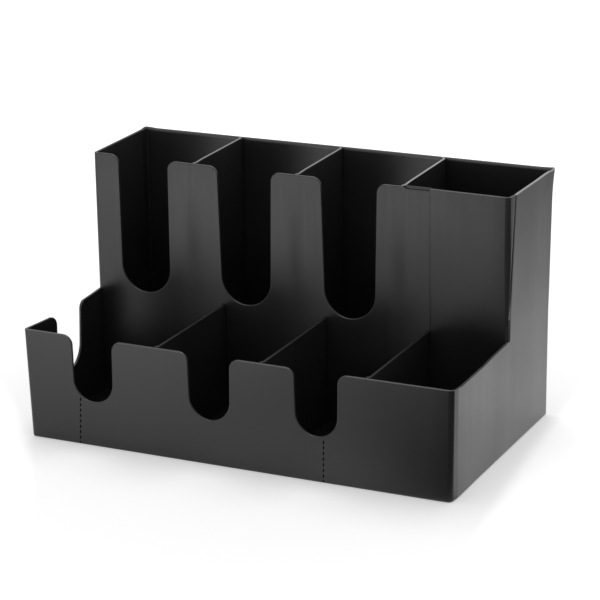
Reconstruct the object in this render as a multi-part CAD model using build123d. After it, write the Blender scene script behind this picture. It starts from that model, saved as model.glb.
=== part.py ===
from build123d import *
import os
from math import cos, floor, radians, sin, sqrt

# A two-tier counter organizer for cups, lids and stirrers, made of bent and bonded plastic sheet.
# Millimetres. X runs along the front from left to right, Y from front to back, Z up.
# The origin is on the table, under the middle of the body.

# Overall sizes
body_width = 400.0
body_depth = 229.0
rear_height = 228.0
front_height = 99.0
front_tier_depth = 130.0

# The sheet, its bends and its bonded ends
sheet = 2.5
bend_inner_radius = 1.5
bend_outer_radius = bend_inner_radius + sheet
return_length = 11.0
flange_width = 11.0
flange_drop = 2.0
foot_round_share = 0.8
rim_break_share = 0.22

# Where the dividers stand, as shares of the width, and where each slot stands in its own bay
front_divider_shares = (0.322, 0.571, 0.814)
rear_divider_shares = (0.254, 0.5055, 0.7555)
front_slot_shares = (0.504, 0.497, 0.512)
rear_slot_shares = (0.489, 0.487, 0.491)

# U slots of the front wall, and the notch like them in the left side wall
sill_height = 40.8
front_slot_width = 38.2
front_slot_flare_angle = 1.0
front_post_radius = 9.0
notch_width = 40.0
notch_centre = 66.5
notch_post_radius = 10.0

# U slots of the riser, whose sills lie just over the front tier
riser_sill = 2.0
riser_slot_width = 48.0
riser_slot_flare_angle = 1.0
riser_post_radius = 8.5

# Rows of slits cut through the front wall from its foot up: the slot over each row, counted from 0, and
# how far off the middle of that slot the row stands, as a share of the slot's width
perforated_slots = (0, 2)
perforation_offset_shares = (-0.366, 0.168)
slit_pitch = 5.05
slit_length = 3.0
slit_width = 1.3

# How far a cutter runs past what it cuts, and how closely two places count as one
overrun = 5.0
tolerance = 0.01

# Places worked out from the sizes above
left = -body_width / 2
right = body_width / 2
front = -body_depth / 2
back = body_depth / 2
riser_front = front + front_tier_depth
riser_back = riser_front + sheet
floor_top = sheet
foot_round = sheet * foot_round_share
rim_break = sheet * rim_break_share
riser_slot_bottom = front_height + riser_sill


def block(x_from, x_to, y_from, y_to, z_from, z_to):
    """A plain box between two corners."""
    sizes = (x_to - x_from, y_to - y_from, z_to - z_from)
    middle = ((x_from + x_to) / 2, (y_from + y_to) / 2, (z_from + z_to) / 2)
    return Pos(*middle) * Box(*sizes)


def wrap(x_from, x_to, y_from, y_to, z_from, z_to):
    """A sheet bent all the way round a rectangle, from which the bent pieces are cut."""
    width = x_to - x_from
    depth = y_to - y_from
    outline = RectangleRounded(width, depth, bend_outer_radius)
    hollow = RectangleRounded(width - 2 * sheet, depth - 2 * sheet, bend_inner_radius)
    tube = extrude(outline - hollow, z_to - z_from)
    return Pos((x_from + x_to) / 2, (y_from + y_to) / 2, z_from) * tube


def slot_face(width, bottom, top, flare_angle):
    """The outline of a U slot: a round sill, and sides that lean apart towards the top."""
    lean = radians(flare_angle)
    radius = width / 2
    centre = bottom + radius
    touch_x = radius * cos(lean)
    touch_y = centre - radius * sin(lean)
    run = (top - touch_y) / cos(lean)
    open_x = touch_x + run * sin(lean)
    sill = ThreePointArc((-touch_x, touch_y), (0, bottom), (touch_x, touch_y))
    sides = Polyline((touch_x, touch_y), (open_x, top), (-open_x, top), (-touch_x, touch_y))
    return make_face(sill + sides)


def ease_rim(piece, low):
    """Break the cut edges of a sheet from a height upwards, on both of its faces."""
    rim = []
    for edge in piece.edges():
        crosses_sheet = edge.geom_type == GeomType.LINE and abs(edge.length - sheet) < tolerance
        if edge.bounding_box().min.Z > low - tolerance and not crosses_sheet:
            rim.append(edge)
    return chamfer(rim, rim_break)


def bay_spans(divider_shares):
    """The clear width of each bay, from the left one to the right one."""
    centres = [left + share * body_width for share in divider_shares]
    starts = [left + sheet] + [centre + sheet / 2 for centre in centres]
    ends = [centre - sheet / 2 for centre in centres] + [right - sheet]
    return list(zip(starts, ends))


def slot_centres(spans, shares):
    """The middle of each slot, set by a share of its own bay. The last bay has no slot."""
    return [start + share * (end - start) for (start, end), share in zip(spans, shares)]


front_bays = bay_spans(front_divider_shares)
rear_bays = bay_spans(rear_divider_shares)
front_slots = slot_centres(front_bays, front_slot_shares)
riser_slots = slot_centres(rear_bays, rear_slot_shares)
nodes = {}


# The outer walls share one bent outline, rounded along the foot
body_wrap = wrap(left, right, front, back, 0, rear_height)
foot_edges = body_wrap.faces().sort_by(Axis.Z)[0].outer_wire().edges()
body_wrap = fillet(foot_edges, foot_round)


def cut_slots(wall, centres, width, bottom, top, flare_angle, post_radius, y_from, y_to):
    """Cut U slots through an upright wall and round the tops of the posts between them."""
    for centre in centres:
        face = slot_face(width, bottom, top + overrun, flare_angle)
        cutter = extrude(Plane((centre, y_to + overrun, 0), x_dir=(1, 0, 0), z_dir=(0, -1, 0)) * face,
                         y_to - y_from + 2 * overrun)
        wall -= cutter
    corners = []
    for edge in wall.edges().filter_by(Axis.Y):
        on_flat = abs(edge.center().X) < right - bend_outer_radius - tolerance
        if on_flat and abs(edge.center().Z - top) < tolerance:
            corners.append(edge)
    inner_corners = [edge for edge in corners if min(abs(edge.center().X - c) for c in centres) < width]
    return fillet(inner_corners, post_radius)


def make_front_wall():
    """Front wall: bent round both front corners, with three slots and two rows of slits."""
    wall = body_wrap & block(left, right, front, front + return_length, 0, front_height)
    wall = cut_slots(wall, front_slots, front_slot_width, sill_height, front_height,
                     front_slot_flare_angle, front_post_radius, front, front + sheet)
    wall = ease_rim(wall, sill_height)
    sill_radius = front_slot_width / 2
    for slot, share in zip(perforated_slots, perforation_offset_shares):
        offset = share * front_slot_width
        row = front_slots[slot] + offset
        sill_over_row = sill_height + sill_radius - sqrt(sill_radius ** 2 - offset ** 2)
        for step in range(floor((sill_over_row - slit_length) / slit_pitch) + 1):
            low = step * slit_pitch
            wall -= block(row - slit_width / 2, row + slit_width / 2, front - overrun, front + sheet + overrun,
                          low if step else -overrun, low + slit_length)
    return wall


nodes["front_wall"] = make_front_wall()


def make_side_wall(x_from, x_to, notched):
    """Side wall: one flat stepped sheet between the bent ends of the other walls."""
    low_band = body_wrap & block(x_from, x_to, front + return_length, back - return_length, 0, front_height)
    rim_low = front_height
    if notched:
        face = slot_face(notch_width, sill_height, front_height + overrun, front_slot_flare_angle)
        plane = Plane((x_from - overrun, front + notch_centre, 0), x_dir=(0, 1, 0), z_dir=(1, 0, 0))
        low_band -= extrude(plane * face, x_to - x_from + 2 * overrun)
        at_top = [edge for edge in low_band.edges().filter_by(Axis.X)
                  if abs(edge.center().Z - front_height) < tolerance
                  and abs(edge.center().Y - front - notch_centre) < notch_width]
        low_band = fillet(at_top, notch_post_radius)
        rim_low = sill_height
    low_band = ease_rim(low_band, rim_low)
    high_band = body_wrap & block(x_from, x_to, riser_front + return_length, back - return_length,
                                  0, rear_height)
    high_band = ease_rim(high_band, rear_height)
    return low_band + high_band


nodes["left_side_wall"] = make_side_wall(left, left + sheet, True)
nodes["right_side_wall"] = make_side_wall(right - sheet, right, False)


def make_back_wall():
    """Back wall: plain and full height, bent round both rear corners."""
    wall = body_wrap & block(left, right, back - return_length, back, 0, rear_height)
    return ease_rim(wall, rear_height)


nodes["back_wall"] = make_back_wall()


def make_floor_panel():
    """Floor: one flat sheet inside the four walls, level with their feet."""
    panel = block(left + sheet, right - sheet, front + sheet, back - sheet, 0, floor_top)
    return chamfer(panel.edges().filter_by(Axis.Z), bend_inner_radius)


nodes["floor_panel"] = make_floor_panel()


# The riser is two sheets: a slotted one and, lapped behind its right end, a plain one
riser_edge = front_bays[2][1] + sheet
end_panel_edge = rear_bays[3][0]


def make_riser_wall():
    """Riser: stands between the tiers, wraps the rear tier's left corner over the step."""
    upper = wrap(left, right, riser_front, back, front_height, rear_height)
    upper &= block(left, riser_edge, riser_front, riser_front + return_length, front_height, rear_height)
    lower = block(left + sheet, riser_edge, riser_front, riser_back, floor_top, front_height)
    wall = upper + lower
    wall = cut_slots(wall, riser_slots, riser_slot_width, riser_slot_bottom, rear_height,
                     riser_slot_flare_angle, riser_post_radius, riser_front, riser_back)
    return ease_rim(wall, riser_slot_bottom)


nodes["riser_wall"] = make_riser_wall()


def make_riser_end_panel():
    """Plain end of the riser: lapped behind the slotted sheet, wraps the right corner."""
    upper = wrap(left, right, riser_back, back, front_height, rear_height)
    upper &= block(end_panel_edge, right, riser_back, riser_front + return_length, front_height, rear_height)
    lower = block(end_panel_edge, right - sheet, riser_back, riser_back + sheet, floor_top, front_height)
    return ease_rim(upper + lower, rear_height)


nodes["riser_end_panel"] = make_riser_end_panel()


def make_divider(right_face, y_from, y_to, top):
    """Divider: one upright sheet with a narrow flange bent to the left at each end."""
    free_edge = right_face - flange_width
    panel = wrap(free_edge - flange_width, right_face, y_from, y_to, floor_top, top)
    panel &= block(free_edge, right_face, y_from, y_to, floor_top, top)
    bend_start = right_face - bend_outer_radius
    slope_end = free_edge - overrun
    slope_low = top - flange_drop - (bend_start - slope_end)
    corner = Polyline((bend_start, top + overrun), (bend_start, top - flange_drop),
                      (slope_end, slope_low), (slope_end, top + overrun), close=True)
    face = Plane((0, y_to + overrun, 0), x_dir=(1, 0, 0), z_dir=(0, -1, 0)) * make_face(corner)
    panel -= extrude(face, y_to - y_from + 2 * overrun)
    return ease_rim(panel, top)


for number, (start, end) in enumerate(front_bays[:-1], 1):
    nodes[f"front_divider_{number}"] = make_divider(end + sheet, front + sheet, riser_front, front_height)
for number, (start, end) in enumerate(rear_bays[:-1], 1):
    nodes[f"rear_divider_{number}"] = make_divider(end + sheet, riser_back, back - sheet, rear_height)


os.makedirs("parts", exist_ok=True)
for name, solid in nodes.items():
    export_step(solid, f"parts/{name}.step")
    print(f"{name}: {len(solid.solids())} solid, {solid.volume / 1000:.1f} cm3")
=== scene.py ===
from math import cos, exp, pi, radians, sin, tan

import bmesh
import bpy
from mathutils import Matrix, Vector


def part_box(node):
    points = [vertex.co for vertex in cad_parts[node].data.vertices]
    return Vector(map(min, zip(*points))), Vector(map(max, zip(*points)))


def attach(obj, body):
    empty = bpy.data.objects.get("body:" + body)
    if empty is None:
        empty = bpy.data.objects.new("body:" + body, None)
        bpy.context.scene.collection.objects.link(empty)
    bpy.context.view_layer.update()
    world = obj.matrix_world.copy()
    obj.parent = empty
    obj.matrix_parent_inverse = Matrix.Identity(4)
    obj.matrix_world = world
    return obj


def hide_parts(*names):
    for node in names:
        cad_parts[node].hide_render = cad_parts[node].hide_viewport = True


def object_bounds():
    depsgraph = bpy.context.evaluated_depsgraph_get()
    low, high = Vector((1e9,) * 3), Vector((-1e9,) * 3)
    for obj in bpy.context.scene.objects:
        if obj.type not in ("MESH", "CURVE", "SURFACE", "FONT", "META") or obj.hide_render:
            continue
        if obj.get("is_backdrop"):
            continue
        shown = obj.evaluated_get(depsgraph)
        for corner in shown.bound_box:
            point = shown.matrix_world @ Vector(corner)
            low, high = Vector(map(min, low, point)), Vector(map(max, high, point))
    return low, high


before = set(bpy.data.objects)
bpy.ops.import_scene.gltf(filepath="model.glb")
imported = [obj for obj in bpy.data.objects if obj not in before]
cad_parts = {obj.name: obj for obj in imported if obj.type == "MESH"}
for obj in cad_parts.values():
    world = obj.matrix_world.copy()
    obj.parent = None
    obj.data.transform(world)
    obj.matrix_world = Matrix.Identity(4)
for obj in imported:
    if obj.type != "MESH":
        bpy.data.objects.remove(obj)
cad_low, cad_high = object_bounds()


# Front wall. One flat blank of black plastic sheet, cut with three U slots and two rows of short slits,
# then bent round both front corners. Its cut rims are eased by a scraper, and its foot is rounded.
MM = 0.001
CLOSE = 0.01 * MM
SHEET = 2.5 * MM
BEND = 4.0 * MM
BEND_RUN = BEND * pi / 2
RIM = 0.7 * MM
FOOT = 2.0 * MM
LEFT, RIGHT = cad_low.x, cad_high.x
FRONT, BACK = cad_low.y, cad_high.y
FRONT_TOP, REAR_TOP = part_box("front_wall")[1].z, cad_high.z
RETURN_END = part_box("front_wall")[1].y
RISER_LOW, RISER_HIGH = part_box("riser_wall")
FLAT_LEFT, FLAT_RIGHT = LEFT + BEND, RIGHT - BEND
RETURN_RUN = BEND_RUN + RETURN_END - FRONT - BEND
FRONT_SLOTS = [-0.13447, -0.02169, 0.07814]
SLOT_SILL = 40.8 * MM
SLOT_ROUND = 19.1 * MM
SLOT_FLARE = radians(1.0)
POST_ROUND = 9.0 * MM
SLIT_ROWS = [(-0.14845, 9, radians(2.7)), (0.08456, 8, radians(1.1))]
SLIT_PITCH, SLIT_LENGTH, SLIT_WIDTH = 5.05 * MM, 3.0 * MM, 1.3 * MM
SPACING = 9 * MM
FACES_UP = 0.25


def slot_outline(middle, sill, top, slot_round, flare, post_rounds):
    """The four corners of a U slot from right to left, each with the radius that rounds it."""
    sill_half = slot_round * tan((pi / 2 - flare) / 2)
    open_half = sill_half + (top - sill) * tan(flare)
    return [(middle + open_half, top, post_rounds[1]), (middle + sill_half, sill, slot_round),
            (middle - sill_half, sill, slot_round), (middle - open_half, top, post_rounds[0])]


def cut_blank(outline, rim_low, foot_round=0.0, rim=RIM, is_rim=None):
    """A flat sheet: u to the right, v up, its outer face at z 0. Its rims are eased from rim_low upwards."""
    bm = bmesh.new()
    corners = [bm.verts.new((point[0], point[1], 0)) for point in outline]
    bm.faces.new(corners)
    for place, point in enumerate(outline):
        if len(point) > 2:
            here = Vector(point[:2])
            before = Vector(outline[place - 1][:2]) - here
            after = Vector(outline[(place + 1) % len(outline)][:2]) - here
            reach = point[2] / tan(before.angle(after) / 2)
            bmesh.ops.bevel(bm, geom=[corners[place]], offset=reach, segments=14, profile=0.5,
                            affect="VERTICES", clamp_overlap=False, material=-1)
    bmesh.ops.remove_doubles(bm, verts=bm.verts, dist=0.002 * MM)
    made = bmesh.ops.extrude_face_region(bm, geom=bm.faces[:])
    behind = [item for item in made["geom"] if isinstance(item, bmesh.types.BMVert)]
    bmesh.ops.translate(bm, verts=behind, vec=(0, 0, -SHEET))
    bmesh.ops.recalc_face_normals(bm, faces=bm.faces)
    lies_flat = [edge for edge in bm.edges if abs(edge.verts[0].co.z - edge.verts[1].co.z) < 0.1 * SHEET]
    eased = [edge for edge in lies_flat if min(v.co.y for v in edge.verts) > rim_low - CLOSE
             and (is_rim is None or is_rim(edge))]
    bmesh.ops.bevel(bm, geom=eased, offset=rim, segments=3, profile=0.5, affect="EDGES",
                    clamp_overlap=True, material=-1)
    if foot_round:
        foot = [edge for edge in bm.edges if all(abs(v.co.y) + abs(v.co.z) < CLOSE for v in edge.verts)]
        bmesh.ops.bevel(bm, geom=foot, offset=foot_round, segments=5, profile=0.5, affect="EDGES",
                        clamp_overlap=True, material=-1)
    for face in bm.faces:
        middle = face.calc_center_median()
        face.material_index = int(abs(face.normal.z) < 0.1 and middle.y > rim_low - CLOSE)
    return bm


def score(bm, us, vs):
    """Divide a blank along upright lines at us and level lines at vs, so that it can bend and bow."""
    for axis, places in ((Vector((1, 0, 0)), us), (Vector((0, 1, 0)), vs)):
        for place in places:
            bmesh.ops.bisect_plane(bm, geom=bm.verts[:] + bm.edges[:] + bm.faces[:], dist=0.001 * MM,
                                   plane_co=axis * place, plane_no=axis)


def steps(start, end, spacing):
    """Evenly spaced places between two ends, about a spacing apart, without the ends."""
    count = max(1, round((end - start) / spacing))
    return [start + (end - start) * k / count for k in range(1, count)]


def bend_lines(start, side):
    """The lines that divide a bend into eight, from where it starts."""
    return [start + side * BEND_RUN * k / 8 for k in range(9)]


def fold(co, start, side, spring):
    """Bend what lies past a line back by a quarter turn, less what springs back. The outer face keeps its
    length."""
    past = side * (co.x - start)
    if past <= 0:
        return co
    turn = min(past, BEND_RUN) / BEND * (1 - 2 * spring / pi)
    beyond = max(0.0, past - BEND_RUN)
    out = BEND + co.z
    across = out * sin(turn) + beyond * cos(turn)
    return Vector((start + side * across, co.y, out * cos(turn) - BEND - beyond * sin(turn)))


def ramp(value, start, end):
    """How far a value has come on its way from start to end: 0 before it, and 1 past it."""
    return min(1, max(0, (value - start) / (end - start)))


def between(low, high, share):
    """A value that lies at a share of the way from low to high."""
    return low + (high - low) * share


def hump(value, middle, reach):
    """A soft hump: 1 in its middle, and nearly nothing at twice its reach."""
    return exp(-((value - middle) / reach) ** 2)


def soft_start(value, start, run):
    """A slope that starts softly over a run, and then goes on straight."""
    past = max(0, value - start) / run
    return min(1, past) ** 2 + 2 * max(0, past - 1)


# How far the finished box stands from true, in millimetres, and over which lengths, in metres
CORNER_REACH = 18 * MM
SPLAY_FOOT, SPLAY_TOP, SPLAY_SPAN = -1.4, 2.6, (-158 * MM, -196 * MM)
LEFT_BOW, BOW_SPAN, BOW_BAND = 3.9, (CORNER_REACH, 133 * MM), 10 * MM
TRUE_HALF = 103 * MM
LEFT_LEAN, LEFT_LEAN_SPAN, LEFT_LEAN_RISE = 0.7, (-45 * MM, -15 * MM), 30 * MM


def left_side(x, y, z):
    """How far the left side stands in. Its front corner is splayed at the top and drawn in at the foot, the
    wall behind it is bowed in, and the rear tier leans out."""
    behind = y - FRONT
    height = ramp(z, 0, FRONT_TOP)
    splay = between(SPLAY_FOOT, SPLAY_TOP, height) * ramp(x, *SPLAY_SPAN) * ramp(behind, CORNER_REACH, 0)
    bow = LEFT_BOW * height * sin(pi * ramp(behind, *BOW_SPAN)) if x < LEFT + BOW_BAND else 0
    lean = LEFT_LEAN * ramp(x, -TRUE_HALF, LEFT) * ramp(y, *LEFT_LEAN_SPAN)
    return bow - splay - lean * ramp(z, FRONT_TOP - LEFT_LEAN_RISE, FRONT_TOP)


RIGHT_REACH = 12 * MM
SHOULDER = 1.75
LEAN_FOOT, LEAN_TOP, LEAN_REACH = 0.65, 1.65, 60 * MM
WAVES = ((0.10, 10.5 * MM, 1 / 0.2, 0.4), (0.09, 18.1 * MM, -1 / 0.07, 0), (0.02, 6.2 * MM, 0, 2))
WAVES_RISE = 30 * MM
REAR_LEAN_LOW, REAR_LEAN_HIGH, REAR_LEAN_RISE, REAR_LEAN_START = 0.9, 2.4, 120 * MM, 20 * MM
NEAR_RIM = 200 * MM
FLARE, FLARE_REACH = 1.9, 20 * MM


def right_side(x, y, z):
    """How far the right side stands out. It has a shoulder at its front corner and leans out behind it, slow
    waves run along it, the rear tier leans out towards the back, and its last corner flares at the rim."""
    behind = y - FRONT
    shoulder = SHOULDER * ramp(behind, CORNER_REACH, 0) ** 2
    lean = between(LEAN_FOOT, LEAN_TOP, ramp(z, 0, FRONT_TOP)) * ramp(behind, LEAN_REACH, 0)
    waves = sum(depth * sin(y / along + z * up + start) for depth, along, up, start in WAVES)
    rear_lean = REAR_LEAN_LOW * ramp(z, 0, REAR_LEAN_RISE) + REAR_LEAN_HIGH * ramp(z, FRONT_TOP, REAR_TOP)
    rear_lean *= ramp(x, TRUE_HALF, RIGHT) * ramp(y, REAR_LEAN_START, BACK)
    flare = FLARE * ramp(z, NEAR_RIM, REAR_TOP) ** 2 * ramp(y, BACK - FLARE_REACH, BACK)
    flare *= ramp(x, RIGHT - FLARE_REACH, RIGHT - BEND)
    return hump(x, RIGHT, RIGHT_REACH) * (lean - shoulder + waves * ramp(z, 0, WAVES_RISE)) + rear_lean + flare


EASE_BACK, EASE_START, EASE_RUN = 0.35, RIGHT - 14 * MM, 10 * MM
DENT, DENTS, DENT_REACH, DENT_SPAN = 0.18, (-0.0996, -0.0005, 0.0990), 8.5 * MM, (100 * MM, 130 * MM)


def set_back(x, y, z):
    """How far the front and the riser stand back. The front wall is eased back just before its right corner,
    and the riser is dented where dividers are bonded to it."""
    eased = EASE_BACK * soft_start(x, EASE_START, EASE_RUN) * hump(y, FRONT, RIGHT_REACH)
    dents = sum(hump(x, bond, DENT_REACH) for bond in DENTS) * ramp(z, *DENT_SPAN)
    return eased + DENT * dents * hump(y, RISER_LOW.y, RIGHT_REACH)


SIDE_BAND = 6 * MM
FRONT_RIM_LEFT, FRONT_RIM_RIGHT, FRONT_RIM_RUN, FRONT_RIM_SPAN = -0.5, 0.7, 250 * MM, (60 * MM, 99 * MM)
SIDE_SAG, SIDE_SAG_SPAN = 2.5, (127 * MM, 72 * MM)
REAR_RIM_SPAN = (160 * MM, 228 * MM)
LEFT_REAR_RIM, RIGHT_REAR_RIM, RIGHT_RIM_START = (0.4, 1.2), (0.2, 2.9), 0.8
DIVIDER_RIM, RISER_RIM, RISER_RIM_RUN, RISER_RIM_SPAN = 1.1, (0.8, 2.1), 100 * MM, (24 * MM, 19 * MM)
BACK_RIM_RISE, BACK_RIM_SPAN = 0.3, (-100 * MM, 0)
LEFT_CORNER_RISE, LEFT_CORNER_REACH = 1.5, 12 * MM
RIGHT_CORNER_RISE, RIGHT_CORNER_SPAN = 1.3, (RIGHT - 7 * MM, RIGHT - 1 * MM)


def rim_drop(x, y, z):
    """How low the rims stand. Each sheet's rim falls towards the front in its own way, the right wall's sags
    in the front tier, and the two back corners are raised."""
    behind = y - FRONT
    if y < RISER_LOW.y:
        drop = between(FRONT_RIM_LEFT, FRONT_RIM_RIGHT, ramp(x, LEFT, LEFT + FRONT_RIM_RUN))
        drop *= ramp(y, RISER_LOW.y, FRONT)
        if x > RIGHT - SIDE_BAND:
            drop += SIDE_SAG * ramp(behind, 0, CORNER_REACH) * ramp(behind, *SIDE_SAG_SPAN)
        return drop * ramp(z, *FRONT_RIM_SPAN)
    fall = ramp(y, BACK, RISER_LOW.y)
    on_riser = ramp(y, *RISER_RIM_SPAN)
    if x < LEFT + SIDE_BAND:
        drop = between(*LEFT_REAR_RIM, fall)
    elif x > RIGHT - SIDE_BAND:
        drop = between(*RIGHT_REAR_RIM, fall) - RIGHT_RIM_START * on_riser
    else:
        riser_rim = between(*RISER_RIM, ramp(x, LEFT, LEFT + RISER_RIM_RUN))
        drop = between(DIVIDER_RIM, riser_rim, on_riser) * fall
    if y > BACK - BEND:
        drop -= BACK_RIM_RISE * ramp(x, *BACK_RIM_SPAN)
    from_corner = ((x - LEFT) ** 2 + (y - BACK) ** 2) ** 0.5
    rise = LEFT_CORNER_RISE * ramp(from_corner, LEFT_CORNER_REACH, 0)
    rise += RIGHT_CORNER_RISE * ramp(y, BACK - CORNER_REACH, BACK) * ramp(x, *RIGHT_CORNER_SPAN)
    return drop * ramp(z, *REAR_RIM_SPAN) - rise * ramp(z, NEAR_RIM, REAR_TOP)


def settle(p):
    """How the finished, bonded box stands: sheet is never quite flat, and its bonds pull it in."""
    return p + MM * Vector((left_side(*p) + right_side(*p), set_back(*p), -rim_drop(*p)))


def stand_up(bm, across, outward, origin, folds=(), spring=0.0):
    """Bend a blank, stand it where it belongs and let it settle."""
    up = Vector((0, 0, 1))
    for v in bm.verts:
        co = v.co
        for start, side in folds:
            co = fold(co, start, side, spring)
        v.co = settle(origin + across * co.x + up * co.y + outward * co.z)


def even_faces(piece):
    """Keep a piece's faces flat in shading up to their eased rims."""
    normals = piece.modifiers.new("even_faces", "WEIGHTED_NORMAL")
    normals.weight = 100
    normals.keep_sharp = True


def finish_piece(name, bm, node, materials):
    """Make the piece's object and put it in place of its node."""
    mesh = bpy.data.meshes.new(name)
    bm.to_mesh(mesh)
    bm.free()
    mesh.shade_smooth()
    mesh.set_sharp_from_angle(angle=radians(50))
    piece = bpy.data.objects.new(name, mesh)
    bpy.context.scene.collection.objects.link(piece)
    for material in materials:
        mesh.materials.append(material)
    even_faces(piece)
    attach(piece, "root")
    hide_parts(node)
    return piece


BOND_REACH = 11 * MM
GRAIN_DEPTH = 0.02 * MM


def sheet_finish(name, tone, roughness, specks, ior=1.5, gloss=0.5, bonds=()):
    """Satin black sheet: a fine even grain, faint upright draw lines, and sheen that varies softly.
    Where a divider is bonded behind it, the sheet is a little duller in a soft upright stripe."""
    material = bpy.data.materials.new(name)
    material.use_nodes = True
    nodes, links = material.node_tree.nodes, material.node_tree.links
    shader = nodes["Principled BSDF"]
    shader.inputs["IOR"].default_value = ior
    shader.inputs["Specular IOR Level"].default_value = gloss
    place = nodes.new("ShaderNodeTexCoord")

    def noise(scale, detail, stretch=None):
        """Fine even noise on the object, squeezed along its axes where a stretch is given."""
        source = place.outputs["Object"]
        if stretch:
            mapping = nodes.new("ShaderNodeMapping")
            mapping.inputs["Scale"].default_value = stretch
            links.new(source, mapping.inputs["Vector"])
            source = mapping.outputs["Vector"]
        made = nodes.new("ShaderNodeTexNoise")
        made.inputs["Scale"].default_value = scale
        made.inputs["Detail"].default_value = detail
        links.new(source, made.inputs["Vector"])
        return made.outputs["Fac"]

    def spread(source, low, high, start=0.3, end=0.7):
        """A value that runs from low to high while its source runs from start to end."""
        made = nodes.new("ShaderNodeMapRange")
        made.inputs["From Min"].default_value = start
        made.inputs["From Max"].default_value = end
        made.inputs["To Min"].default_value = low
        made.inputs["To Max"].default_value = high
        links.new(source, made.inputs["Value"])
        return made.outputs["Result"]

    def add(first, second):
        """The sum of two sockets."""
        made = nodes.new("ShaderNodeMath")
        made.operation = "ADD"
        links.new(first, made.inputs[0])
        links.new(second, made.inputs[1])
        return made.outputs["Value"]

    grain = noise(1500, 3)
    lines = noise(1, 2, (420, 420, 9))
    cloud = noise(16, 2)
    dust = noise(2600, 1)
    colour = nodes.new("ShaderNodeValToRGB")
    colour.color_ramp.elements[0].position = 0.35
    colour.color_ramp.elements[0].color = (tone * 0.9, tone * 0.91, tone * 0.94, 1)
    colour.color_ramp.elements[1].position = 0.65
    colour.color_ramp.elements[1].color = (tone * 1.08, tone * 1.1, tone * 1.14, 1)
    speck = colour.color_ramp.elements.new(0.995)
    speck.color = (tone * specks, tone * specks, tone * specks, 1)
    links.new(add(cloud, spread(dust, 0, 0.5, 0.78, 0.84)), colour.inputs["Fac"])
    links.new(colour.outputs["Color"], shader.inputs["Base Color"])
    sheen = add(spread(cloud, roughness - 0.025, roughness + 0.025), spread(lines, -0.02, 0.02))
    sheen = add(sheen, spread(grain, -0.02, 0.02))
    if bonds:
        split = nodes.new("ShaderNodeSeparateXYZ")
        links.new(place.outputs["Object"], split.inputs["Vector"])
        dull = None
        for bond in bonds:
            off = nodes.new("ShaderNodeMath")
            off.operation = "SUBTRACT"
            off.inputs[1].default_value = bond
            links.new(split.outputs["X"], off.inputs[0])
            away = nodes.new("ShaderNodeMath")
            away.operation = "ABSOLUTE"
            links.new(off.outputs["Value"], away.inputs[0])
            stripe = spread(away.outputs["Value"], 1, 0, 0, BOND_REACH)
            stripe.node.interpolation_type = "SMOOTHSTEP"
            dull = add(dull, stripe) if dull else stripe
        low_down = spread(split.outputs["Z"], 1, 0, 0.15, 0.21)
        share = nodes.new("ShaderNodeMath")
        share.operation = "MULTIPLY"
        links.new(dull, share.inputs[0])
        links.new(low_down, share.inputs[1])
        sheen = add(sheen, spread(share.outputs["Value"], 0, 0.06, 0, 1))
        links.new(spread(share.outputs["Value"], gloss, gloss * 0.85, 0, 1),
                  shader.inputs["Specular IOR Level"])
    links.new(sheen, shader.inputs["Roughness"])
    relief = add(spread(grain, 0, 1), spread(lines, 0, 0.5))
    bump = nodes.new("ShaderNodeBump")
    bump.inputs["Strength"].default_value = 0.35
    bump.inputs["Distance"].default_value = GRAIN_DEPTH
    links.new(relief, bump.inputs["Height"])
    links.new(bump.outputs["Normal"], shader.inputs["Normal"])
    return material


black_sheet = sheet_finish("satin_black_sheet", 0.014, 0.36, 1.6)
scraped_edge = sheet_finish("scraped_black_edge", 0.025, 0.36, 1.3)
# The front rim's finish is scraped, and is painted lighter and more reflective than the sheet: a painted
# highlight.
scraped_rim_painted_highlight = sheet_finish("scraped_front_rim_painted_highlight", 0.02, 0.34, 1.3, ior=1.75)
front_finishes = [black_sheet, scraped_edge, scraped_rim_painted_highlight]

outline = [(FLAT_LEFT - RETURN_RUN, 0), (FLAT_RIGHT + RETURN_RUN, 0), (FLAT_RIGHT + RETURN_RUN, FRONT_TOP)]
for middle in reversed(FRONT_SLOTS):
    outline += slot_outline(middle, SLOT_SILL, FRONT_TOP, SLOT_ROUND, SLOT_FLARE, (POST_ROUND, POST_ROUND))
outline.append((FLAT_LEFT - RETURN_RUN, FRONT_TOP))
bm = cut_blank(outline, SLOT_SILL, FOOT)
# Rims facing up near the top of the posts take the scraped rim's painted highlight.
for face in bm.faces:
    if face.normal.y > FACES_UP and face.calc_center_median().y > FRONT_TOP - 0.5 * POST_ROUND:
        face.material_index = front_finishes.index(scraped_rim_painted_highlight)
score(bm, steps(FLAT_LEFT, FLAT_RIGHT, SPACING) + bend_lines(FLAT_LEFT, -1) + bend_lines(FLAT_RIGHT, 1),
      steps(0, FRONT_TOP, SPACING))
stand_up(bm, Vector((1, 0, 0)), Vector((0, -1, 0)), Vector((0, FRONT, 0)),
         [(FLAT_LEFT, -1), (FLAT_RIGHT, 1)])
slotted_front = finish_piece("slotted_front", bm, "front_wall", front_finishes)

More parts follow.
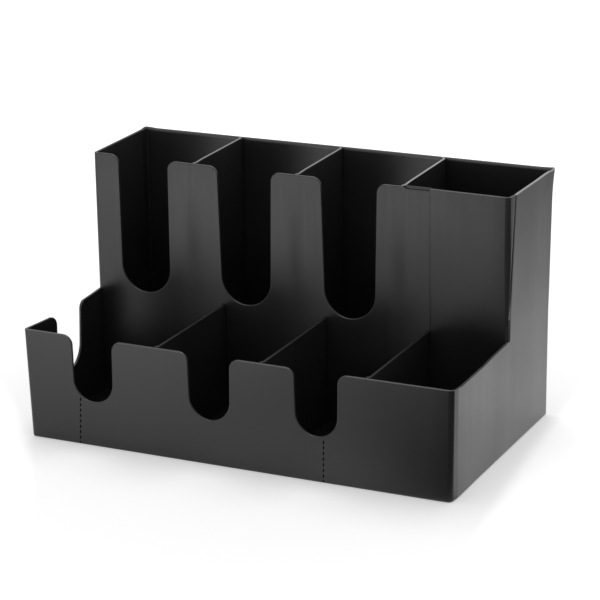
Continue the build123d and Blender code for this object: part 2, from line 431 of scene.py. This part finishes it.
slits = bmesh.new()
for row, count, lean in SLIT_ROWS:
    for step in range(count):
        up_row = step * SLIT_PITCH + SLIT_LENGTH / 2
        place = Matrix.Translation((row + (up_row - SLOT_SILL / 2) * tan(lean), FRONT, up_row))
        place @= Matrix.Rotation(lean, 4, "Y")
        made = bmesh.ops.create_cube(slits, size=1, matrix=place)
        bmesh.ops.scale(slits, verts=made["verts"], vec=(SLIT_WIDTH, 4 * SHEET, SLIT_LENGTH),
                        space=place.inverted())
slit_mesh = bpy.data.meshes.new("slit_punch")
slits.to_mesh(slit_mesh)
slits.free()
punch = bpy.data.objects.new("slit_punch", slit_mesh)
bpy.context.scene.collection.objects.link(punch)
cut = slotted_front.modifiers.new("slits", "BOOLEAN")
cut.object = punch
cut.solver = "EXACT"
slotted_front.modifiers.move(1, 0)
bpy.context.view_layer.update()
punched = bpy.data.meshes.new_from_object(slotted_front.evaluated_get(bpy.context.evaluated_depsgraph_get()))
slotted_front.modifiers.clear()
slotted_front.data = punched
bpy.data.objects.remove(punch)
even_faces(slotted_front)


# Side walls. Two flat stepped sheets that butt against the bent ends of the other walls. The left one has
# a U notch in its low part, whose rear post is rounded more tightly. The right one's seam with the riser
# leans, stands a little open on the outside, and has soft edges.
STEP_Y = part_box("riser_wall")[1].y
SIDE_FROM, SIDE_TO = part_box("left_side_wall")[0].y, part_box("left_side_wall")[1].y
NOTCH_MIDDLE, NOTCH_REACH = FRONT + 66.5 * MM, 50 * MM
NOTCH_ROUND = 20.0 * MM
NOTCH_POSTS = (7.5 * MM, 10.0 * MM)
SEAM_TOP, SEAM_LOW = 1.7 * MM, -9.5 * MM
SEAM_BEND = FRONT_TOP + 19.0 * MM
SEAM_GAP, SEAM_SOFT = 1.4 * MM, 2.0 * MM
FINE_RIM = 0.4 * MM
RIM_BAND = 1.3 * FINE_RIM
BRIGHTER_HIGHLIGHT_FROM = FRONT_TOP + 50 * MM
# Buffed and polished rims are painted lighter than the sheet: painted highlights, brightest on the polished
# one.
buffed_edge_painted_highlight = sheet_finish("buffed_black_edge_painted_highlight", 0.08, 0.24, 1.2, ior=1.9)
polished_edge_painted_highlight = sheet_finish("polished_black_edge_painted_highlight", 0.18, 0.2, 1.2, ior=2.5)
side_finishes = [black_sheet, buffed_edge_painted_highlight, polished_edge_painted_highlight]


def is_level(edge):
    """Whether an edge of a blank runs level."""
    return abs(edge.verts[0].co.y - edge.verts[1].co.y) < 0.1 * MM


def seam_at(height):
    """How far the leaning seam lies behind the step's end at a height."""
    return between(SEAM_LOW, SEAM_TOP, ramp(height, SEAM_BEND, REAR_TOP))


def soften_seam(bm, step, side):
    """Widen the rounding of the leaning seam's edge on the outer face. The sheet lies to that side of it."""
    for v in bm.verts:
        off = side * (v.co.x - step - seam_at(v.co.y))
        if v.co.y > FRONT_TOP + 0.5 * MM and v.co.z > -0.9 * FINE_RIM and 0 <= off < RIM_BAND:
            v.co.x += side * off * (SEAM_SOFT / FINE_RIM - 1)


outline = [(SIDE_FROM, 0), (SIDE_TO, 0), (SIDE_TO, REAR_TOP), (STEP_Y + SEAM_TOP, REAR_TOP),
           (STEP_Y + SEAM_LOW, SEAM_BEND), (STEP_Y + SEAM_LOW, FRONT_TOP), (SIDE_FROM, FRONT_TOP)]
bm = cut_blank(outline, FRONT_TOP, FOOT, FINE_RIM,
               is_rim=lambda edge: is_level(edge) or max(v.co.x for v in edge.verts) < STEP_Y + 2 * MM)
# Rims facing up take the buffed finish's painted highlight, and higher up the polished finish's brighter
# painted highlight.
for face in bm.faces:
    if face.normal.y > FACES_UP:
        rim = polished_edge_painted_highlight if face.calc_center_median().y > BRIGHTER_HIGHLIGHT_FROM else buffed_edge_painted_highlight
        face.material_index = side_finishes.index(rim)
soften_seam(bm, STEP_Y, 1)
score(bm, steps(SIDE_FROM, SIDE_TO, SPACING), steps(0, REAR_TOP, SPACING))
stand_up(bm, Vector((0, 1, 0)), Vector((1, 0, 0)), Vector((RIGHT, 0, 0)))
finish_piece("plain_side", bm, "right_side_wall", side_finishes)

outline = [(-SIDE_TO, 0), (-SIDE_FROM, 0), (-SIDE_FROM, FRONT_TOP)]
outline += slot_outline(-NOTCH_MIDDLE, SLOT_SILL, FRONT_TOP, NOTCH_ROUND, SLOT_FLARE, NOTCH_POSTS)
outline += [(-STEP_Y, FRONT_TOP), (-STEP_Y, REAR_TOP), (-SIDE_TO, REAR_TOP)]
bm = cut_blank(outline, SLOT_SILL, FOOT, is_rim=lambda edge: is_level(edge)
               or max(abs(v.co.x + NOTCH_MIDDLE) for v in edge.verts) < NOTCH_REACH)
score(bm, steps(-SIDE_TO, -SIDE_FROM, SPACING), steps(0, REAR_TOP, SPACING))
stand_up(bm, Vector((0, -1, 0)), Vector((-1, 0, 0)), Vector((LEFT, 0, 0)))
finish_piece("notched_side", bm, "left_side_wall", [black_sheet, scraped_edge])


# Back wall. A plain full-height sheet, bent round both rear corners. Its rim is eased more than the others,
# most of all inside. The insides of the bends and the rim's level top are dull, the inner ease carries a
# painted highlight, and the rim is polished, with a brighter painted highlight, at its right end.
BACK_RIM = 1.2 * MM
INNER_EASE, EASE_STRETCH, EASE_BAND = 1.25 * MM, 2.4, 3 * MM
FACES_LEVEL_UP = 0.97
dull_inside = sheet_finish("dull_black_inside_bends", 0.014, 0.5, 1.3, gloss=0.2)
back_finishes = [black_sheet, scraped_edge, dull_inside, scraped_rim_painted_highlight, polished_edge_painted_highlight]

outline = [(FLAT_LEFT - RETURN_RUN, 0), (FLAT_RIGHT + RETURN_RUN, 0), (FLAT_RIGHT + RETURN_RUN, REAR_TOP),
           (FLAT_LEFT - RETURN_RUN, REAR_TOP)]
bm = cut_blank(outline, REAR_TOP, FOOT, BACK_RIM)
for v in bm.verts:
    if v.co.z < -0.5 * SHEET and v.co.y > REAR_TOP - INNER_EASE:
        v.co.y = REAR_TOP - (REAR_TOP - v.co.y) * EASE_STRETCH
score(bm, steps(FLAT_LEFT, FLAT_RIGHT, SPACING) + bend_lines(FLAT_LEFT, -1) + bend_lines(FLAT_RIGHT, 1),
      steps(0, REAR_TOP, SPACING))
for face in bm.faces:
    middle = face.calc_center_median()
    on_inner_ease = middle.z < -0.5 * SHEET and middle.y > REAR_TOP - EASE_BAND
    if middle.z < -0.95 * SHEET and abs(middle.x) > FLAT_RIGHT:
        face.material_index = back_finishes.index(dull_inside)
    elif on_inner_ease and 0.1 < face.normal.y < FACES_LEVEL_UP:
        face.material_index = back_finishes.index(scraped_rim_painted_highlight)
    elif face.normal.y > FACES_LEVEL_UP:
        face.material_index = back_finishes.index(dull_inside)
    if face.normal.y > FACES_UP and middle.x < FLAT_LEFT - 0.6 * BEND_RUN:
        face.material_index = back_finishes.index(polished_edge_painted_highlight)
stand_up(bm, Vector((-1, 0, 0)), Vector((0, 1, 0)), Vector((0, BACK, 0)),
         [(FLAT_LEFT, -1), (FLAT_RIGHT, 1)])
finish_piece("plain_back", bm, "back_wall", back_finishes)


# Floor. One flat sheet inside the walls, level with their feet, with its four corners cut off to clear
# the bends.
FLOOR_LOW, FLOOR_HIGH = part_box("floor_panel")
# The floor sheet is painted darker than the walls' sheet: painted shade at the bottom of the bays.
floor_sheet_painted_shade = sheet_finish("matt_black_floor_painted_shade", 0.008, 0.6, 1.6, gloss=0.02)
bm = bmesh.new()
bmesh.ops.create_grid(bm, x_segments=1, y_segments=1, size=0.5)
bmesh.ops.scale(bm, verts=bm.verts, vec=(FLOOR_HIGH.x - FLOOR_LOW.x, FLOOR_HIGH.y - FLOOR_LOW.y, 1))
bmesh.ops.bevel(bm, geom=bm.verts[:], offset=1.5 * MM, segments=1, affect="VERTICES", material=-1)
bmesh.ops.translate(bm, verts=bm.verts, vec=(0, 0, FLOOR_HIGH.z))
made = bmesh.ops.extrude_face_region(bm, geom=bm.faces[:])
bmesh.ops.translate(bm, verts=[item for item in made["geom"] if isinstance(item, bmesh.types.BMVert)],
                    vec=(0, 0, FLOOR_LOW.z - FLOOR_HIGH.z))
bmesh.ops.recalc_face_normals(bm, faces=bm.faces)
finish_piece("base_panel", bm, "floor_panel", [floor_sheet_painted_shade])


# Riser. Two sheets stand between the tiers. The slotted one wraps the rear tier's left corner over the
# step, and its right edge laps over a plain one, which is joggled forward past it and wraps the right corner.
RISER_SLOTS = [(-0.14965, radians(0.3)), (-0.04938, radians(1.2)), (0.05132, radians(1.3))]
RISER_SILL = FRONT_TOP + 2.0 * MM
RISER_SLOT_ROUND = 24.0 * MM
RISER_POST_ROUND = 8.5 * MM
RISER_SPACING = 5 * MM
INNER_LEFT, INNER_RIGHT = FLOOR_LOW.x, FLOOR_HIGH.x
END_LOW, END_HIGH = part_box("riser_end_panel")
LAP_TOP = REAR_TOP - 2.0 * MM
LAP_FROM, LAP_TO = END_LOW.x - 4.0 * MM, END_LOW.x + 1.0 * MM
BONDS = (-0.1012, -0.0006, 0.0985)
bonded_sheet = sheet_finish("satin_black_sheet_over_bonds", 0.014, 0.36, 1.6, bonds=BONDS)

outline = [(INNER_LEFT, RISER_LOW.z), (RISER_HIGH.x, RISER_LOW.z), (RISER_HIGH.x, LAP_TOP),
           (LAP_TO, LAP_TOP), (LAP_FROM, REAR_TOP)]
for middle, flare in reversed(RISER_SLOTS):
    outline += slot_outline(middle, RISER_SILL, REAR_TOP, RISER_SLOT_ROUND, flare,
                            (RISER_POST_ROUND, RISER_POST_ROUND))
outline += [(FLAT_LEFT - RETURN_RUN, REAR_TOP), (FLAT_LEFT - RETURN_RUN, FRONT_TOP), (INNER_LEFT, FRONT_TOP)]
bm = cut_blank(outline, RISER_SILL)
score(bm, steps(FLAT_LEFT, RISER_HIGH.x, RISER_SPACING) + bend_lines(FLAT_LEFT, -1),
      steps(RISER_LOW.z, REAR_TOP, SPACING))
stand_up(bm, Vector((1, 0, 0)), Vector((0, -1, 0)), Vector((0, RISER_LOW.y, 0)), [(FLAT_LEFT, -1)])
finish_piece("slotted_riser", bm, "riser_wall", [bonded_sheet, scraped_edge])

SEAM = RISER_HIGH.x
JOGGLE_RUN, JOGGLE_START, JOGGLE_DEPTH = 1.0 * MM, 2.2 * MM, 2.3 * MM
END_SPRING = radians(1.2)
END_RUN = BEND_RUN + END_HIGH.y - END_LOW.y - BEND + JOGGLE_DEPTH - SEAM_GAP
SEAM_STEP = FLAT_RIGHT + END_RUN
CLOSED_SPAN = (FLAT_RIGHT + 4.2 * MM, FLAT_RIGHT + 6.3 * MM)
end_finishes = [black_sheet, scraped_edge, buffed_edge_painted_highlight, dull_inside]

outline = [(END_LOW.x, END_LOW.z), (INNER_RIGHT, END_LOW.z), (INNER_RIGHT, FRONT_TOP),
           (SEAM_STEP + SEAM_LOW, FRONT_TOP), (SEAM_STEP + SEAM_LOW, SEAM_BEND),
           (SEAM_STEP + SEAM_TOP, REAR_TOP), (END_LOW.x, REAR_TOP)]
bm = cut_blank(outline, FRONT_TOP, rim=FINE_RIM,
               is_rim=lambda edge: min(v.co.x for v in edge.verts) > FLAT_RIGHT + 2 * MM
               or min(v.co.y for v in edge.verts) > REAR_TOP - CLOSE)
# The rim beyond the right bend takes the buffed finish's painted highlight.
for face in bm.faces:
    if face.material_index and face.calc_center_median().x > FLAT_RIGHT:
        face.material_index = end_finishes.index(buffed_edge_painted_highlight)
soften_seam(bm, SEAM_STEP, -1)
joggle_lines = [SEAM - 0.05 * MM] + [SEAM + JOGGLE_RUN * k / 4 for k in range(5)]
score(bm, steps(END_LOW.x, SEAM, SPACING) + joggle_lines + steps(SEAM + JOGGLE_RUN, FLAT_RIGHT, SPACING)
      + bend_lines(FLAT_RIGHT, 1), steps(END_LOW.z, REAR_TOP, SPACING))
for face in bm.faces:
    if face.calc_center_median().x < SEAM and face.normal.y > 0.1:
        face.material_index = end_finishes.index(dull_inside)
for v in bm.verts:
    to_edge = SEAM_STEP + seam_at(v.co.y) - v.co.x
    if v.co.y > FRONT_TOP - CLOSE and v.co.z < -0.5 * SHEET and -0.1 * FINE_RIM < to_edge < RIM_BAND:
        v.co.x += (SEAM_GAP + 0.05 * MM) * ramp(v.co.x, *CLOSED_SPAN)
stand_up(bm, Vector((1, 0, 0)), Vector((0, -1, 0)), Vector((0, END_LOW.y, 0)), [(FLAT_RIGHT, 1)],
         spring=END_SPRING)

# How the end panel's right bend differs from a true one, in metres
OVER_STEP = 9 * MM
SOFT_BEND, SOFT_FROM, SOFT_RUN, ON_RETURN = 0.75 * MM, RIGHT - 12 * MM, 8 * MM, RIGHT - 2.4 * MM
FORWARD_TOP, FORWARD_LOW, FORWARD_RISE = 1.5 * MM, 2.6 * MM, 100 * MM
IN_LOW, IN_TOP, IN_SPAN = 0.2 * MM, 1.3 * MM, (125 * MM, 175 * MM)
for v in bm.verts:
    x, y, z = v.co
    if x > SEAM - CLOSE:
        y -= between(JOGGLE_START, JOGGLE_DEPTH, ramp(x, SEAM, SEAM + JOGGLE_RUN))
        to_seam = ramp(y, STEP_Y + seam_at(z), END_LOW.y - JOGGLE_DEPTH)
        forward = between(FORWARD_TOP, FORWARD_LOW, ramp(z, FRONT_TOP + FORWARD_RISE, FRONT_TOP))
        forward *= (x - SEAM) / (RIGHT - SEAM)
        soft = SOFT_BEND * soft_start(x, SOFT_FROM, SOFT_RUN) * (1 if x < ON_RETURN else to_seam)
        inward = between(IN_LOW, IN_TOP, ramp(z, *IN_SPAN)) * ramp(x, SOFT_FROM, SOFT_FROM + SOFT_RUN)
        share = to_seam * ramp(z, FRONT_TOP - OVER_STEP, FRONT_TOP)
        v.co = (x - inward * share, y + (soft - forward) * share, z)
finish_piece("riser_end", bm, "riser_end_panel", end_finishes)


# Dividers. Six upright sheets, three in each tier. Each end is bent to the left into a narrow flange that
# is bonded to the wall it meets, and the flange's top is cut at a slant so that it stays below the rim.
FLANGE_DROP = 2.0 * MM
FRONT_RAISE = 0.4 * MM
LAST_RIM = 0.3 * MM
for tier in ("front", "rear"):
    for number in (1, 2, 3):
        node = f"{tier}_divider_{number}"
        low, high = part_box(node)
        top = high.z + (FRONT_RAISE if tier == "front" else 0)
        start, end = low.y + BEND, high.y - BEND
        flange = high.x - low.x - BEND
        outline = [(start - BEND_RUN - flange, low.z), (end + BEND_RUN + flange, low.z),
                   (end + BEND_RUN + flange, top - FLANGE_DROP - flange), (end + BEND_RUN, top - FLANGE_DROP),
                   (end + BEND_RUN, top), (start - BEND_RUN, top), (start - BEND_RUN, top - FLANGE_DROP),
                   (start - BEND_RUN - flange, top - FLANGE_DROP - flange)]
        bm = cut_blank(outline, top, rim=LAST_RIM if node == "rear_divider_3" else FINE_RIM)
        score(bm, steps(start, end, SPACING) + bend_lines(start, -1) + bend_lines(end, 1),
              steps(low.z, top, SPACING))
        stand_up(bm, Vector((0, 1, 0)), Vector((1, 0, 0)), Vector((high.x, 0, 0)), [(start, -1), (end, 1)])
        # Rear rims take the buffed finish's painted highlight, and the last rear one the polished finish's
        # brighter painted highlight.
        rim = polished_edge_painted_highlight if node == "rear_divider_3" else buffed_edge_painted_highlight if tier == "rear" else black_sheet
        finish_piece(f"{tier}_upright_{number}", bm, node, [black_sheet, rim])


# The stage. A wide pale table that is white to the camera and takes a soft shadow. In reflections, three
# painted bright pools and a painted dark one lie on it, and a dark card that paints shade into reflections
# alone lies in front on the right, on the camera's side.
def stage_plane(name, size, height):
    """A flat square on the stage, with an empty material."""
    made = bmesh.new()
    bmesh.ops.create_grid(made, x_segments=1, y_segments=1, size=size,
                          matrix=Matrix.Translation((0, 0, height)))
    mesh = bpy.data.meshes.new(name)
    made.to_mesh(mesh)
    made.free()
    plane = bpy.data.objects.new(name, mesh)
    bpy.context.scene.collection.objects.link(plane)
    plane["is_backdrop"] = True
    material = bpy.data.materials.new(name)
    material.use_nodes = True
    material.node_tree.nodes.clear()
    mesh.materials.append(material)
    return plane, material.node_tree.nodes, material.node_tree.links


def combine(nodes, links, operation, first, second):
    """A Math node on two sockets, or on a socket and a number."""
    made = nodes.new("ShaderNodeMath")
    made.operation = operation
    for socket, source in zip(made.inputs, (first, second)):
        if isinstance(source, (int, float)):
            socket.default_value = source
        else:
            links.new(source, socket)
    return made.outputs["Value"]


def pool(nodes, links, middle, reach, soft_share, strength):
    """A soft round spot on a stage plane: full in the middle, nothing at its reach."""
    place = nodes.new("ShaderNodeTexCoord")
    centre = nodes.new("ShaderNodeMapping")
    centre.vector_type = "TEXTURE"
    centre.inputs["Location"].default_value = (*middle, 0)
    centre.inputs["Scale"].default_value = (*reach, 1)
    disc = nodes.new("ShaderNodeTexGradient")
    disc.gradient_type = "SPHERICAL"
    soft = nodes.new("ShaderNodeMapRange")
    soft.interpolation_type = "SMOOTHSTEP"
    soft.inputs["From Max"].default_value = soft_share
    soft.inputs["To Max"].default_value = strength
    links.new(place.outputs["Object"], centre.inputs["Vector"])
    links.new(centre.outputs["Vector"], disc.inputs["Vector"])
    links.new(disc.outputs["Fac"], soft.inputs["Value"])
    return soft.outputs["Result"]


table, nodes, links = stage_plane("table", 6, 0)
output = nodes.new("ShaderNodeOutputMaterial")
matt = nodes.new("ShaderNodeBsdfDiffuse")
matt.inputs["Color"].default_value = (0.8, 0.8, 0.8, 1)
glow = nodes.new("ShaderNodeEmission")
both = nodes.new("ShaderNodeAddShader")
ray = nodes.new("ShaderNodeLightPath")
seen = combine(nodes, links, "ADD", ray.outputs["Is Glossy Ray"], ray.outputs["Is Transmission Ray"])
EVEN_GLOW = 0.4
# Painted reflections: bright pools on the table that only reflections see.
PAINTED_REFLECTION_POOLS = [((-0.4, -0.85), (0.9, 0.8), 1.6), ((-0.35, -0.8), (0.75, 0.42), 1.5),
                ((0.28, 0.14), (0.42, 0.5), 0.5)]
mirrored = EVEN_GLOW
for middle, reach, strength in PAINTED_REFLECTION_POOLS:
    mirrored = combine(nodes, links, "ADD", pool(nodes, links, middle, reach, 1.0, strength), mirrored)
# A painted dark pool in reflections, in front of the object.
dark = pool(nodes, links, (0.02, -0.4), (0.26, 0.24), 1.0, 0.9)
mirrored = combine(nodes, links, "SUBTRACT", mirrored, dark)
mirrored = combine(nodes, links, "MULTIPLY", seen, mirrored)
shade = pool(nodes, links, (0, 0), (1.6, 1.6), 1.0, 0.46)
paper = combine(nodes, links, "SUBTRACT", 0.8, shade)
# Painted light: brighter glow to the camera, right and left of the object, that cuts its shadow short there.
PAINTED_LIGHT_PATCHES = [((0.673, 0.3), (0.476, 1.2), 0.038, 0.17), ((-0.922, -0.648), (0.9, 0.9), 0.017, 0.14)]
for middle, reach, soft_share, strength in PAINTED_LIGHT_PATCHES:
    paper = combine(nodes, links, "ADD", pool(nodes, links, middle, reach, soft_share, strength), paper)
direct = combine(nodes, links, "MULTIPLY", ray.outputs["Is Camera Ray"], paper)
links.new(combine(nodes, links, "ADD", direct, mirrored), glow.inputs["Strength"])
links.new(matt.outputs["BSDF"], both.inputs[0])
links.new(glow.outputs["Emission"], both.inputs[1])
links.new(both.outputs["Shader"], output.inputs["Surface"])

# A dark card that only reflections see: painted shade in the reflections in front on the right.
card, nodes, links = stage_plane("painted_dark_reflection", 2.5, 0.002)
card.visible_camera = card.visible_diffuse = card.visible_shadow = card.visible_transmission = False
output = nodes.new("ShaderNodeOutputMaterial")
clear = nodes.new("ShaderNodeBsdfTransparent")
black = nodes.new("ShaderNodeBsdfDiffuse")
black.inputs["Color"].default_value = (0.02, 0.02, 0.02, 1)
fade = nodes.new("ShaderNodeMixShader")
near = combine(nodes, links, "MAXIMUM", pool(nodes, links, (0.55, -0.38), (0.55, 0.46), 0.2, 1.0),
               pool(nodes, links, (1.3, -0.2), (1.1, 0.9), 0.2, 1.0))
near = combine(nodes, links, "SUBTRACT", near, pool(nodes, links, (0.2, -0.03), (0.1, 0.1), 0.5, 1.0))
links.new(combine(nodes, links, "MAXIMUM", near, pool(nodes, links, (0.6, 1.0), (0.6, 0.6), 1.0, 0.5)),
          fade.inputs["Fac"])
links.new(clear.outputs["BSDF"], fade.inputs[1])
links.new(black.outputs["BSDF"], fade.inputs[2])
links.new(fade.outputs["Shader"], output.inputs["Surface"])


# The light. A soft even sky, white where the camera and reflections see it, and one large soft box overhead.
sky = bpy.data.worlds.new("studio")
bpy.context.scene.world = sky
sky.use_nodes = True
nodes, links = sky.node_tree.nodes, sky.node_tree.links
nodes.clear()
output = nodes.new("ShaderNodeOutputWorld")
backdrop = nodes.new("ShaderNodeBackground")
around = nodes.new("ShaderNodeBackground")
pick = nodes.new("ShaderNodeMixShader")
ray = nodes.new("ShaderNodeLightPath")
backdrop.inputs["Color"].default_value = (1, 1, 1, 1)
around.inputs["Strength"].default_value = 0.6
whiter = combine(nodes, links, "MULTIPLY", ray.outputs["Is Camera Ray"], 0.2)
links.new(combine(nodes, links, "ADD", whiter, 0.8), backdrop.inputs["Strength"])
seen = combine(nodes, links, "ADD", ray.outputs["Is Glossy Ray"], ray.outputs["Is Transmission Ray"])
links.new(combine(nodes, links, "ADD", ray.outputs["Is Camera Ray"], seen), pick.inputs["Fac"])
links.new(around.outputs["Background"], pick.inputs[1])
links.new(backdrop.outputs["Background"], pick.inputs[2])
links.new(pick.outputs["Shader"], output.inputs["Surface"])


def soft_box(name, place, width, height, power):
    """A square lamp that faces the middle of the object."""
    lamp = bpy.data.lights.new(name, "AREA")
    lamp.shape = "RECTANGLE"
    lamp.size = width
    lamp.size_y = height
    lamp.energy = power
    made = bpy.data.objects.new(name, lamp)
    made.location = place
    made.rotation_euler = (Vector((0, 0, 0.1)) - Vector(place)).to_track_quat("-Z", "Y").to_euler()
    made.visible_camera = False
    bpy.context.scene.collection.objects.link(made)


soft_box("overhead_box", (-0.15, 0.4, 1.8), 1.5, 1.5, 15)


# The camera. It stands in front on the right, some two metres away, and looks down at the object through
# a long lens. It is rolled by about a degree.
EYE = Vector((0.904032, -1.879423, 0.789750))
AHEAD = Vector((-0.40848, 0.85951, -0.30721)).normalized()
ROLL = radians(-0.91)
level = AHEAD.cross(Vector((0, 0, 1))).normalized()
above = level.cross(AHEAD)
side = level * cos(ROLL) + above * sin(ROLL)
head = side.cross(AHEAD)
lens = bpy.data.cameras.new("camera")
lens.sensor_width = 36
lens.lens = 150.2
lens.clip_start = 0.05
camera = bpy.data.objects.new("camera", lens)
camera.matrix_world = Matrix.Translation(EYE) @ Matrix((side, head, -AHEAD)).transposed().to_4x4()
bpy.context.scene.collection.objects.link(camera)
bpy.context.scene.camera = camera
bpy.context.scene.view_settings.view_transform = "Standard"

low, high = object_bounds()
